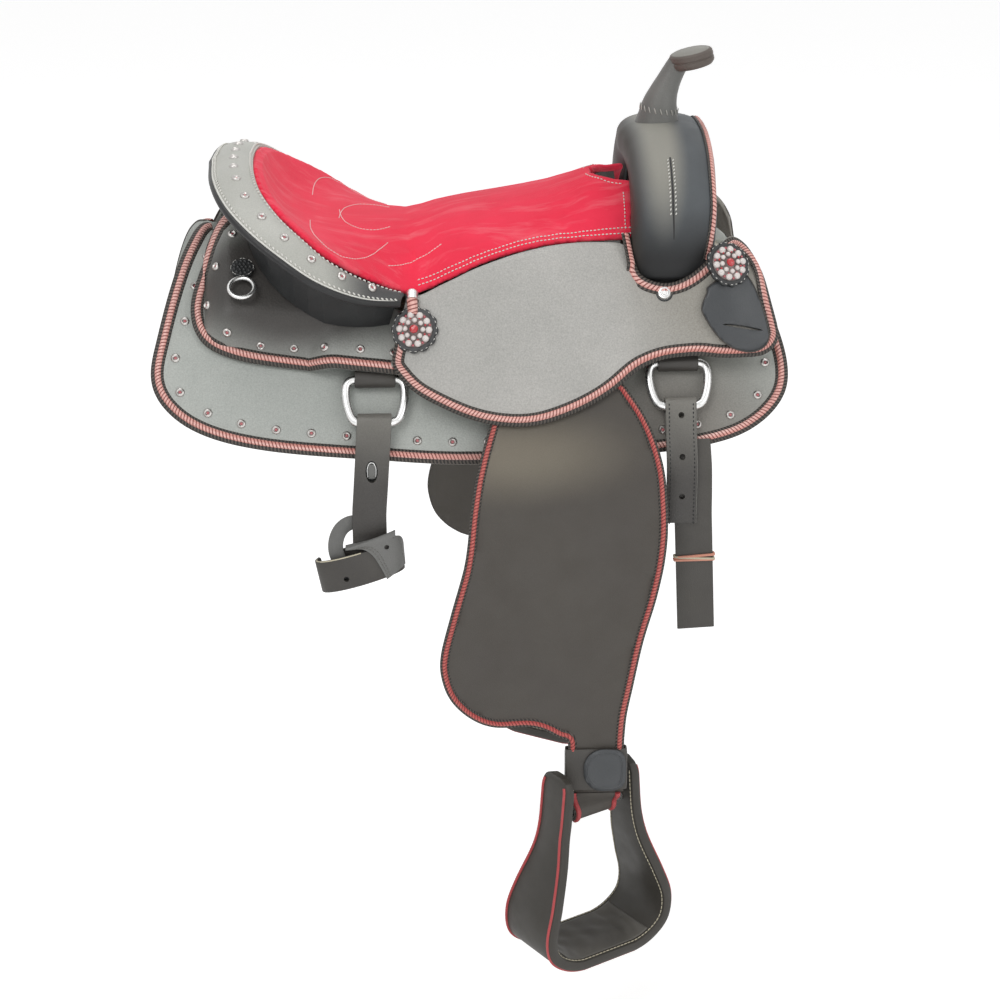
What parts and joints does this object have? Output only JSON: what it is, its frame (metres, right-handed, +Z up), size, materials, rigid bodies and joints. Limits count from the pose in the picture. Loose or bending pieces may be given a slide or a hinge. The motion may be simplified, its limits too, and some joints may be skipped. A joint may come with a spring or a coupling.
{
  "type": "ranch saddle",
  "caption": "Western ranch saddle in dark leather with a red suede seat, leather-covered horn, rope-edged skirts and jockeys, swinging fenders, bell stirrups, dee rings and billets.",
  "frame": {"origin": "horse's spine under the seat's lowest point", "axes": "X forward to the horn, Y to the near side, Z up"},
  "size_m": [0.6341, 0.6636, 0.8863],
  "materials": {
    "black_leather": "satin",
    "grey_leather": "satin",
    "brown_leather": "satin",
    "red_suede": "matte",
    "wool": "matte",
    "tree_rawhide": "matte",
    "bright_steel": "polished"
  },
  "bodies": {
    "saddle": {"cantle_back": "black_leather", "cantle_roll": "grey_leather", "fleece_L": "wool", "fleece_R": "wool", "front_concho_L": "bright_steel", "front_concho_R": "bright_steel", "front_rigging_L": "brown_leather", "front_rigging_R": "brown_leather", "front_rosette_L": "black_leather", "front_rosette_R": "black_leather", "ground_seat": "brown_leather", "horn_cap": "black_leather", "horn_neck": "black_leather", "latigo_keeper_L": "black_leather", "latigo_keeper_R": "black_leather", "rear_concho_L": "bright_steel", "rear_concho_R": "bright_steel", "rear_jockey_L": "grey_leather", "rear_jockey_R": "grey_leather", "rear_rigging_L": "brown_leather", "rear_rigging_R": "brown_leather", "rear_rosette_L": "black_leather", "rear_rosette_R": "black_leather", "seat": "red_suede", "seat_jockey_L": "grey_leather", "seat_jockey_R": "grey_leather", "skirt_L": "grey_leather", "skirt_R": "grey_leather", "small_rosette_L": "black_leather", "small_rosette_R": "black_leather", "swell_cover": "black_leather", "tree_bar_L": "tree_rawhide", "tree_bar_R": "tree_rawhide", "tree_cantle": "tree_rawhide", "tree_fork": "tree_rawhide"},
    "fender_R": {"fender_R": "brown_leather", "stirrup_leather_R": "brown_leather", "hobble_strap_R": "black_leather", "fender_loop_R": "brown_leather"},
    "stirrup_R": {"stirrup_R": "brown_leather", "stirrup_bolt_R": "bright_steel"},
    "front_dee_R": {"front_dee_R": "bright_steel"},
    "rear_dee_R": {"rear_dee_R": "bright_steel"},
    "rear_billet_R": {"rear_billet_R": "brown_leather", "rear_billet_roll_R": "brown_leather"},
    "small_ring_R": {"small_ring_R": "bright_steel"},
    "fender_L": {"fender_L": "brown_leather", "stirrup_leather_L": "brown_leather", "hobble_strap_L": "black_leather", "fender_loop_L": "brown_leather"},
    "stirrup_L": {"stirrup_L": "brown_leather", "stirrup_bolt_L": "bright_steel"},
    "front_dee_L": {"front_dee_L": "bright_steel"},
    "rear_dee_L": {"rear_dee_L": "bright_steel"},
    "rear_billet_L": {"rear_billet_L": "brown_leather", "rear_billet_roll_L": "brown_leather"},
    "small_ring_L": {"small_ring_L": "bright_steel"},
    "off_billet": {"off_billet": "brown_leather", "off_strap": "brown_leather"},
    "latigo": {"latigo": "brown_leather"}
  },
  "joints": [
    {"name": "fender_swing_R", "type": "hinge", "parent": "saddle", "child": "fender_R", "pos_m": [0.162, -0.10431, -0.03262], "axis": [0, 0.848, -0.5299], "range_deg": [-8, 18]},
    {"name": "stirrup_rock_R", "type": "hinge", "parent": "fender_R", "child": "stirrup_R", "pos_m": [0.1756, -0.256, -0.51824], "axis": [0.848, 0.5299, 0], "range_deg": [-30, 30]},
    {"name": "front_dee_tilt_R", "type": "hinge", "parent": "saddle", "child": "front_dee_R", "pos_m": [0.267, -0.1438, -0.08476], "axis": [-1, 0, 0], "range_deg": [0, 30]},
    {"name": "rear_dee_tilt_R", "type": "hinge", "parent": "saddle", "child": "rear_dee_R", "pos_m": [-0.035, -0.15062, -0.0948], "axis": [1, 0, 0], "range_deg": [-30, 0]},
    {"name": "rear_billet_swing_R", "type": "hinge", "parent": "rear_dee_R", "child": "rear_billet_R", "pos_m": [-0.035, -0.1761, -0.13129], "axis": [1, 0, 0], "range_deg": [-45, 0]},
    {"name": "small_ring_flip_R", "type": "hinge", "parent": "saddle", "child": "small_ring_R", "pos_m": [-0.165, -0.10465, -0.00163], "axis": [-1, 0, 0], "range_deg": [0, 60]},
    {"name": "fender_swing_L", "type": "hinge", "parent": "saddle", "child": "fender_L", "pos_m": [0.162, 0.10431, -0.03262], "axis": [0, 0.848, 0.5299], "range_deg": [-8, 18]},
    {"name": "stirrup_rock_L", "type": "hinge", "parent": "fender_L", "child": "stirrup_L", "pos_m": [0.1756, 0.256, -0.51824], "axis": [0.848, -0.5299, 0], "range_deg": [-30, 30]},
    {"name": "front_dee_tilt_L", "type": "hinge", "parent": "saddle", "child": "front_dee_L", "pos_m": [0.267, 0.1438, -0.08476], "axis": [1, 0, 0], "range_deg": [0, 30]},
    {"name": "rear_dee_tilt_L", "type": "hinge", "parent": "saddle", "child": "rear_dee_L", "pos_m": [-0.035, 0.15062, -0.0948], "axis": [-1, 0, 0], "range_deg": [-30, 0]},
    {"name": "rear_billet_swing_L", "type": "hinge", "parent": "rear_dee_L", "child": "rear_billet_L", "pos_m": [-0.035, 0.1761, -0.13129], "axis": [-1, 0, 0], "range_deg": [-45, 0]},
    {"name": "small_ring_flip_L", "type": "hinge", "parent": "saddle", "child": "small_ring_L", "pos_m": [-0.165, 0.10465, -0.00163], "axis": [1, 0, 0], "range_deg": [0, 60]},
    {"name": "off_billet_swing", "type": "hinge", "parent": "front_dee_R", "child": "off_billet", "pos_m": [0.2675, -0.16899, -0.12144], "axis": [-1, 0, 0], "range_deg": [0, 45]},
    {"name": "latigo_swing", "type": "hinge", "parent": "front_dee_L", "child": "latigo", "pos_m": [0.2675, 0.16899, -0.12144], "axis": [1, 0, 0], "range_deg": [0, 45]}
  ]
}
